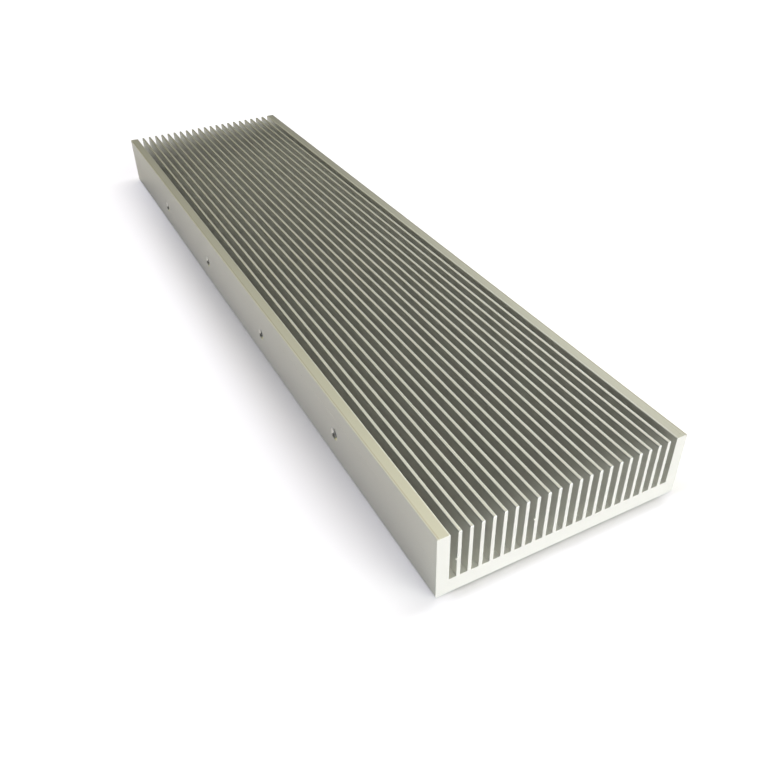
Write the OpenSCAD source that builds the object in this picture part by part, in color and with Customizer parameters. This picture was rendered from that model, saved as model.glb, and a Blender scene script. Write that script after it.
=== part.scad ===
// Extruded heat sink.
// One straight length of aluminium extrusion: a flat base plate, a thick wall along
// each side and a comb of thin upright fins between them. The length is sawn square
// at both ends, and a row of holes is drilled, countersunk and tapped through each wall.
// The base lies in the XY plane, the channels run along Y and the fins stand up in Z.
// The origin is at the middle of the base's underside.

/* [Extrusion] */
// Overall width, across the outer faces of both side walls
sink_w = 100; // [80:0.5:160]
// Length that the extrusion is sawn to
sink_l = 394; // [270:1:600]
// Overall height, from the underside to the top of the side walls
sink_h = 27; // [20:0.5:45]
// Thickness of the base plate under the channels
base_t = 6.4; // [3:0.1:9]
// Thickness of each side wall
wall_t = 4.7; // [2.5:0.1:7]

/* [Fins] */
// Number of fins between the two side walls
fin_count = 21; // [6:1:24]
// Thickness of a fin where it leaves the base
fin_root_t = 1.4; // [1.3:0.05:2]
// Thickness of a fin at its tip
fin_tip_t = 1.3; // [1:0.05:1.4]
// Distance from the top of the side walls down to the fin tips
fin_drop = 0; // [0:0.1:5]

/* [Edges] */
// Radius in the corners at the foot of each channel
root_r = 0.2; // [0.1:0.05:0.5]
// Radius on the two corners of each fin tip
tip_r = 0.45; // [0.1:0.05:0.5]
// Radius on the long outer corners of the base and of the side walls
edge_r = 0.4; // [0.1:0.05:1]

/* [Side holes] */
// Number of tapped holes along each side wall
hole_count = 4; // [1:1:5]
// Distance from one hole to the next
hole_pitch = 79; // [20:1:120]
// How far the middle of a row lies from the middle of the length, towards -Y
hole_shift = 3; // [0:0.5:15]
// Core diameter of each tapped hole
hole_d = 4.2; // [2.5:0.1:6]
// Width of the 45 degree countersink around the mouth of each hole
mouth_c = 0.7; // [0.2:0.1:1.2]
// Height of the holes' centre line above the underside
hole_h = 12; // [10:0.5:16]

/* [Hidden] */

// Flat steps that make up each small quarter-round of the section
ARC_STEPS = 5;
// How far a cutting tool runs past the face that it breaks through
CUT = 1;

inner_w = sink_w - 2 * wall_t;
channel_w = (inner_w - fin_count * fin_root_t) / (fin_count + 1);
fin_pitch = channel_w + fin_root_t;
tip_z = sink_h - fin_drop;
fin_taper = (fin_root_t - fin_tip_t) / 2;
// Lean of a fin's side away from the vertical
fin_lean = atan2(fin_taper, tip_z - base_t);

// Points of an arc about a centre, from one angle to another
function arc(centre, r, from, to) =
    [for (i = [0 : ARC_STEPS]) let (a = from + (to - from) * i / ARC_STEPS)
        centre + r * [cos(a), sin(a)]];

// Distance from a corner to where its radius starts, for a corner that is wider than
// a right angle by the angle lean
function corner_run(r, lean) = r * tan(45 - lean / 2);

// Left half of one fin's section, from the channel floor up to its tip
function fin_left(x) =
    let (
        foot = x - fin_root_t / 2,
        tip = x - fin_tip_t / 2
    )
    concat(
        arc([foot - corner_run(root_r, fin_lean), base_t + root_r], root_r, -90, -fin_lean),
        arc([tip + corner_run(tip_r, fin_lean), tip_z - tip_r], tip_r, 180 - fin_lean, 90)
    );

// The same points seen in a mirror that stands at x
function mirrored(points, x) =
    [for (i = [len(points) - 1 : -1 : 0]) [2 * x - points[i][0], points[i][1]]];

// Outline of the fin that stands at x, from its left foot over the tip to its right foot
function fin(x) = concat(fin_left(x), mirrored(fin_left(x), x));

// Outline of the left side wall, from the underside over its top to the channel floor
function wall_left() =
    concat(
        arc([-sink_w / 2 + edge_r, edge_r], edge_r, 270, 180),
        arc([-sink_w / 2 + edge_r, sink_h - edge_r], edge_r, 180, 90),
        arc([-inner_w / 2 - edge_r, sink_h - edge_r], edge_r, 90, 0),
        arc([-inner_w / 2 + root_r, base_t + root_r], root_r, 180, 270)
    );

// Section of the extrusion, drawn in X and Z
module section() {
    first_fin = -inner_w / 2 + channel_w + fin_root_t / 2;
    fins = [for (i = [0 : fin_count - 1]) each fin(first_fin + i * fin_pitch)];
    polygon(concat(wall_left(), fins, mirrored(wall_left(), 0)));
}

// The sawn length, with its section carried straight from end to end
module sawn_length() {
    rotate([90, 0, 0])
        linear_extrude(height = sink_l, center = true)
            section();
}

// One tapping hole along X through the side wall that stands at +X, widened at its mouth
module wall_hole() {
    rotate([0, 90, 0]) {
        translate([0, 0, inner_w / 2 - channel_w / 2])
            cylinder(d = hole_d, h = channel_w / 2 + wall_t, $fn = 48);
        translate([0, 0, sink_w / 2 - mouth_c])
            cylinder(d1 = hole_d, d2 = hole_d + 2 * (mouth_c + CUT), h = mouth_c + CUT, $fn = 48);
    }
}

// The row of holes through the side wall that stands at +X
module wall_holes() {
    row_l = (hole_count - 1) * hole_pitch;
    for (i = [0 : hole_count - 1])
        translate([0, i * hole_pitch - row_l / 2 - hole_shift, hole_h])
            wall_hole();
}

module heat_sink() {
    color([0.80, 0.79, 0.75])
        difference() {
            sawn_length();
            wall_holes();
            mirror([1, 0, 0]) wall_holes();
        }
}

heat_sink();
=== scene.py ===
"""Extruded heat sink: the looks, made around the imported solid. Lengths are in metres."""

import math

import bpy
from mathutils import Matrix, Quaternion, Vector


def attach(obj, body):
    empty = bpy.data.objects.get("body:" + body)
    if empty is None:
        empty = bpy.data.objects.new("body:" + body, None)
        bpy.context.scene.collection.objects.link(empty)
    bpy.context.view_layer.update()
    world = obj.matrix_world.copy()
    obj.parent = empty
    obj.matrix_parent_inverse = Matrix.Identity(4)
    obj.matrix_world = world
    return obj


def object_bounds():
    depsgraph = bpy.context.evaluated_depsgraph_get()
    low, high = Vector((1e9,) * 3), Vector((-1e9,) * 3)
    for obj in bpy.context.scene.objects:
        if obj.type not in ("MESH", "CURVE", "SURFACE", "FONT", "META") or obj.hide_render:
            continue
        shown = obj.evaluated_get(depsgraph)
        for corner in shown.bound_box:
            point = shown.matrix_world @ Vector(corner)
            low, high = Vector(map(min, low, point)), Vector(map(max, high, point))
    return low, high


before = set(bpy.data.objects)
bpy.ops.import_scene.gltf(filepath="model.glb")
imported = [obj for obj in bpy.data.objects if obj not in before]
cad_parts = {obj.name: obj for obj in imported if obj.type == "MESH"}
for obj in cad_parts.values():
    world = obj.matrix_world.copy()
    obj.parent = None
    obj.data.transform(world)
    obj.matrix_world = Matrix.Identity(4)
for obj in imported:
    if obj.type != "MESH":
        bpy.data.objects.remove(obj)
cad_low, cad_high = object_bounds()


# Camera
# It stands in front of the sawn end, to the left of the sink and well above it, and
# looks down along the channels with a slightly tilted head.
eye = Vector((-0.1333, -0.3296, 0.2033))
aim = Vector((-0.0199, -0.1048, 0.0135))
head_tilt = math.radians(-1.44)
camera_data = bpy.data.cameras.new("camera")
camera_data.sensor_width = 36.0
camera_data.lens = 36.37
camera_data.clip_start = 0.01
camera_data.clip_end = 20.0
camera = bpy.data.objects.new("camera", camera_data)
bpy.context.scene.collection.objects.link(camera)
camera.rotation_mode = "QUATERNION"
camera.location = eye
look = (aim - eye).to_track_quat("-Z", "Y")
camera.rotation_quaternion = look @ Quaternion((0, 0, 1), head_tilt)
bpy.context.scene.camera = camera


# The extrusion
# One length of mill-finish aluminium pushed through a die, which leaves it satin with
# fine lines along its length, and sawn square at both ends, where the metal is pale and
# matt. The holes in the side walls are drilled, countersunk and tapped.
wall_t = 0.0047
base_t = 0.0064
inner = cad_high.x - wall_t
field = inner - 0.0003

hole_pitch = 0.079
hole_shift = 0.003
hole_height = 0.012
bore_radius = 0.0021
countersink = 0.0007
thread_pitch = 0.0008
thread_relief = 0.0004
line_relief = 0.000008

mill_colour = (0.92, 0.92, 0.88)
sawn_colour = (0.865, 0.85, 0.82)
# Painted highlight: the tip colour whitens the flat tops of the fins. Painted shade: the shoulder
# colour darkens their rounded sides.
tip_highlight_colour = (0.99, 0.99, 0.99)
shoulder_shade_colour = (0.62, 0.62, 0.60)
# Painted shade along the outer edge of each wall top, and a painted highlight along its inner edge.
outer_edge_shade_colour = (0.80, 0.77, 0.72)
inner_edge_highlight_colour = (0.99, 0.99, 0.97)
# Painted shade towards the far end.
painted_shade_colour = (0.60, 0.60, 0.57)
# Bare cut metal in the bore and countersink, whitened so they read as lit: partly painted light.
lit_cut_colour = (1.0, 1.0, 0.99)


class Value:
    """One output in a node tree. Arithmetic on it adds Math nodes."""

    def __init__(self, tree, socket):
        self.tree = tree
        self.socket = socket

    @classmethod
    def node(cls, tree, kind, settings=None, inputs=None, output=0):
        """The chosen output of a new node, with its settings made before its inputs."""
        made = tree.nodes.new(kind)
        for name, setting in (settings or {}).items():
            setattr(made, name, setting)
        for name, value in (inputs or {}).items():
            if isinstance(value, Value):
                tree.links.new(value.socket, made.inputs[name])
            else:
                made.inputs[name].default_value = value
        return cls(tree, made.outputs[output])

    def part(self, name):
        """The X, Y or Z of a vector."""
        return Value.node(self.tree, "ShaderNodeSeparateXYZ", inputs={0: self}, output=name)

    def math(self, operation, other=0.0, swapped=False):
        inputs = {0: other, 1: self} if swapped else {0: self, 1: other}
        return Value.node(self.tree, "ShaderNodeMath", {"operation": operation}, inputs)

    def __add__(self, other):
        return self.math("ADD", other)

    __radd__ = __add__

    def __mul__(self, other):
        return self.math("MULTIPLY", other)

    __rmul__ = __mul__

    def __sub__(self, other):
        return self.math("SUBTRACT", other)

    def __rsub__(self, other):
        return self.math("SUBTRACT", other, swapped=True)

    def __gt__(self, other):
        return self.math("GREATER_THAN", other)

    def __lt__(self, other):
        return self.math("LESS_THAN", other)

    def __abs__(self):
        return self.math("ABSOLUTE")


def fade(value, start, end):
    """Rises smoothly from 0, where the value is at the start, to 1 at the end."""
    return Value.node(
        value.tree,
        "ShaderNodeMapRange",
        {"interpolation_type": "SMOOTHSTEP"},
        {"Value": value, "From Min": start, "From Max": end},
    )


def mix(tree, under, over, share):
    """Lays one colour over another, for a share of it."""
    under, over = (paint if isinstance(paint, Value) else (*paint, 1) for paint in (under, over))
    return Value.node(
        tree,
        "ShaderNodeMix",
        {"data_type": "RGBA"},
        {"Factor": share, 6: under, 7: over},
        output=2,
    )


def streaks(place, stretch):
    """Noise that is fine along an axis with a large number, and drawn out along the others."""
    stretched = Value.node(
        place.tree, "ShaderNodeVectorMath", {"operation": "MULTIPLY"}, {0: place, 1: stretch}
    )
    return Value.node(
        place.tree, "ShaderNodeTexNoise", inputs={"Vector": stretched, "Scale": 1.0, "Detail": 3.0}
    )


def extrusion_finish():
    finish = bpy.data.materials.new("mill_aluminium")
    finish.use_nodes = True
    tree = finish.node_tree
    shader = tree.nodes["Principled BSDF"]
    place = Value.node(tree, "ShaderNodeTexCoord", output="Object")
    facing = Value.node(tree, "ShaderNodeTexCoord", output="Normal")
    across = place.part("X")
    along = place.part("Y")
    above = place.part("Z")

    # The holes are found by folding the length onto one hole.
    folded = Value.node(
        tree,
        "ShaderNodeMath",
        {"operation": "WRAP"},
        {0: along + (hole_shift + 0.5 * hole_pitch), 1: 0.5 * hole_pitch, 2: -0.5 * hole_pitch},
    )
    height = above - hole_height
    radius = (folded * folded + height * height).math("POWER", 0.5)
    slack = 0.00005
    in_wall = (abs(across) > field) * (abs(across) < cad_high.x - slack)
    cut = in_wall * (radius < bore_radius + countersink + slack)
    bore = cut * (radius < bore_radius + 0.2 * slack)

    # The sawn ends, the fin tips and the edges of the wall tops, each told by its place.
    sawn = (abs(facing.part("Y")) > 0.9) * (1 - cut)
    fin_tip = (above > cad_high.z - 0.0006) * (abs(across) < field)
    side_facing = facing.part("X")
    shoulder = fin_tip * side_facing * side_facing
    on_top = above > cad_high.z - 0.0004
    outer_line = on_top * (abs(abs(across) - (cad_high.x - 0.0007)) < 0.00025)
    inner_line = on_top * (abs(abs(across) - (inner + 0.0004)) < 0.00035)
    between_walls = (above > base_t - 0.0004) * (abs(across) < inner)
    in_channel = between_walls * (above < cad_high.z - 0.0008)

    # Painted shade: towards the far end the metal is painted darker, and between the walls there most
    # of all.
    far = fade(along, -0.060, cad_high.y - 0.007)
    far_end_shade = fade(along, cad_high.y - 0.062, cad_high.y - 0.019) * between_walls * (1 - sawn)

    colour = mix(tree, mill_colour, sawn_colour, sawn)
    # Painted highlight on the flat fin tops, and painted shade on their rounded shoulders.
    colour = mix(tree, colour, tip_highlight_colour, fin_tip)
    colour = mix(tree, colour, shoulder_shade_colour, shoulder)
    # Painted shade on the outer edge of each wall top, and a painted highlight on its inner edge.
    colour = mix(tree, colour, outer_edge_shade_colour, outer_line)
    colour = mix(tree, colour, inner_edge_highlight_colour, inner_line)
    # Painted shade towards the far end: outside the channels, on the fin tips, and most of all
    # between the walls near the end.
    colour = mix(tree, colour, painted_shade_colour, 0.45 * far * (1 - in_channel))
    colour = mix(tree, colour, painted_shade_colour, 0.40 * far * fin_tip)
    colour = mix(tree, colour, painted_shade_colour, 0.65 * far_end_shade)
    # The bore and countersink are bare cut metal, whitened as painted light.
    colour = mix(tree, colour, lit_cut_colour, cut)
    tree.links.new(colour.socket, shader.inputs["Base Color"])

    die_lines = streaks(place, (2600, 3, 2600))
    saw_marks = streaks(place, (300, 1, 2500))
    rough = 0.24 + 0.12 * die_lines + 0.55 * sawn + 0.30 * bore
    tree.links.new(rough.socket, shader.inputs["Roughness"])
    metal = 0.8 + 0.2 * cut - 0.8 * bore - 0.75 * sawn
    metal = metal - (0.06 + 0.22 * far) * in_channel * (1 - sawn)
    tree.links.new(metal.socket, shader.inputs["Metallic"])

    turn = height.math("ARCTAN2", folded) * (0.5 / math.pi) + abs(across) * (1 / thread_pitch)
    thread = turn.math("PINGPONG", 0.5)
    lines = die_lines * (1 - sawn) + saw_marks * sawn
    relief = line_relief * lines + thread_relief * thread * bore
    bump = Value.node(
        tree, "ShaderNodeBump", inputs={"Height": relief, "Distance": 1.0, "Strength": 1.0}
    )
    tree.links.new(bump.socket, shader.inputs["Normal"])
    return finish


mill_aluminium = extrusion_finish()
heat_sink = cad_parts["heat_sink"]
heat_sink.data.materials.clear()
heat_sink.data.materials.append(mill_aluminium)


# Saw burrs
# Two small slivers of the same aluminium, pulled out of the fins by the saw. Each hangs
# on the left edge of a fin's sawn end and points across the channel.
fin_count = 21
fin_root_t = 0.0014
half_fin = 0.00068
channel_w = (2 * inner - fin_count * fin_root_t) / (fin_count + 1)
fin_pitch = channel_w + fin_root_t


def burr(name, fin, z, reach, height):
    """A curled wedge, thick where it leaves a fin, which is counted from the left, and
    thin at its tip."""
    x = -inner + fin * fin_pitch - 0.5 * fin_root_t - half_fin
    # Each ring of corners has its distance behind the sawn face and its rise, as a share
    # of the burr's height.
    root = [(-0.00010, -0.50), (-0.00010, 0.40), (0.00030, 0.40), (0.00030, -0.50)]
    bend = [(-0.00035, -0.35), (-0.00045, 0.50), (0.00005, 0.40), (0.00005, -0.20)]
    tip = [(-0.00055, 0.60)]
    rings = ((x + 0.0004, root), (x - 0.65 * reach, bend), (x - reach, tip))
    corners = [
        (ring_x, cad_low.y + behind, z + rise * height)
        for ring_x, ring in rings
        for behind, rise in ring
    ]
    flanks = [(i, (i + 1) % 4, 4 + (i + 1) % 4, 4 + i) for i in range(4)]
    point = [(4 + i, 4 + (i + 1) % 4, 8) for i in range(4)]
    mesh = bpy.data.meshes.new(name)
    mesh.from_pydata(corners, [], flanks + [(3, 2, 1, 0)] + point)
    mesh.materials.append(mill_aluminium)
    sliver = bpy.data.objects.new(name, mesh)
    bpy.context.scene.collection.objects.link(sliver)
    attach(sliver, "root")


burr("burr_low", fin=1, z=0.0150, reach=0.0010, height=0.0007)
burr("burr_high", fin=8, z=0.0176, reach=0.0010, height=0.0008)


# Floor
# A matt white sheet, far wider than the sink, that carries its soft shadow. A glow that
# only the camera sees turns it pure white away from the sink, and less of it lies over
# the shadow, least along the middle of the long sides and in front of the sawn ends.
floor_half = 6.0
floor_gap = 0.0005
shadow_w = 0.028
glow_in_clear = 0.50
glow_colour = (1, 1, 1.12)
unlit = (0, 0, 0)


def floor_finish():
    finish = bpy.data.materials.new("white_floor")
    finish.use_nodes = True
    tree = finish.node_tree
    shader = tree.nodes["Principled BSDF"]
    shader.inputs["Base Color"].default_value = (0.95, 0.95, 0.95, 1)
    shader.inputs["Roughness"].default_value = 1.0
    shader.inputs["Specular IOR Level"].default_value = 0.0
    shader.inputs["Emission Strength"].default_value = 1.0
    place = Value.node(tree, "ShaderNodeTexCoord", output="Object")
    across = place.part("X")
    along = place.part("Y")

    # How far a place is from the sink, with the distance past its ends counted 4 times.
    beside = (abs(across) - cad_high.x).math("MAXIMUM", 0.0)
    beyond = (4 * (abs(along) - cad_high.y)).math("MAXIMUM", 0.0)
    clear = (beside * beside + beyond * beyond).math("POWER", 0.5)
    from_middle = along + 0.020
    at_side = fade(abs(across), cad_high.x - 0.010, cad_high.x)
    glow_in_shadow = at_side * (0.11 + 5.3 * from_middle * from_middle)
    glow = glow_in_shadow + fade(clear, 0.0, shadow_w) * (glow_in_clear - glow_in_shadow)
    camera_ray = Value.node(tree, "ShaderNodeLightPath", output="Is Camera Ray")
    shown = mix(tree, unlit, glow_colour, camera_ray * glow)
    tree.links.new(shown.socket, shader.inputs["Emission Color"])
    return finish


floor_mesh = bpy.data.meshes.new("floor")
floor_corners = [(floor_half * x, floor_half * y, 0) for x, y in ((-1, -1), (1, -1), (1, 1), (-1, 1))]
floor_mesh.from_pydata(floor_corners, [], [(0, 1, 2, 3)])
floor_mesh.materials.append(floor_finish())
floor = bpy.data.objects.new("floor", floor_mesh)
bpy.context.scene.collection.objects.link(floor)
floor.location.z = cad_low.z - floor_gap


# Lights
# Large soft lights on the walls and the ceiling of a dim room, the strongest of them low
# in front of the sawn end. Each is brightest in its middle and fades out around it. To
# the camera alone the room is white.
light_falloff = 14
white = (1, 1, 1)

room = bpy.data.worlds.new("room")
bpy.context.scene.world = room
room.use_nodes = True
tree = room.node_tree
background = tree.nodes["Background"]


def soft_light(others, bearing, height, colour):
    """Adds one light to the others. Its bearing is counted from +X towards +Y, in degrees."""
    bearing, height = math.radians(bearing), math.radians(height)
    towards = (
        math.cos(height) * math.cos(bearing),
        math.cos(height) * math.sin(bearing),
        math.sin(height),
    )
    direction = Value.node(tree, "ShaderNodeTexCoord", output="Generated")
    nearness = Value.node(
        tree,
        "ShaderNodeVectorMath",
        {"operation": "DOT_PRODUCT"},
        {0: direction, 1: towards},
        output="Value",
    )
    strength = (light_falloff * (nearness - 1)).math("EXPONENT")
    return Value.node(
        tree,
        "ShaderNodeVectorMath",
        {"operation": "MULTIPLY_ADD"},
        {0: strength, 1: colour, 2: others},
    )


# Low in front, with the main light first.
light = soft_light((0, 0, 0), 300, 7, (7.08, 7.14, 7.09))
light = soft_light(light, 270, 7, (0.94, 0.95, 1.41))
light = soft_light(light, 285, 27, (0.88, 1.13, 0.65))
# Low on the right, towards the far end.
light = soft_light(light, 30, 7, (2.31, 2.41, 2.12))
# Overhead.
light = soft_light(light, 0, 90, (1.16, 0.98, 1.24))
light = soft_light(light, 72, 67, (1.07, 1.08, 0.75))
light = soft_light(light, 0, 67, (0.22, 0.10, 0.00))
# Beyond the far end.
light = soft_light(light, 80, 47, (0.18, 0.16, 0.06))
light = soft_light(light, 120, 47, (0.36, 0.47, 0.64))
light = soft_light(light, 105, 27, (0.41, 0.39, 0.28))
light = soft_light(light, 120, 7, (0.29, 0.25, 0.00))
camera_ray = Value.node(tree, "ShaderNodeLightPath", output="Is Camera Ray")
shown = mix(tree, light, white, camera_ray)
tree.links.new(shown.socket, background.inputs["Color"])

bpy.context.scene.view_settings.view_transform = "Standard"
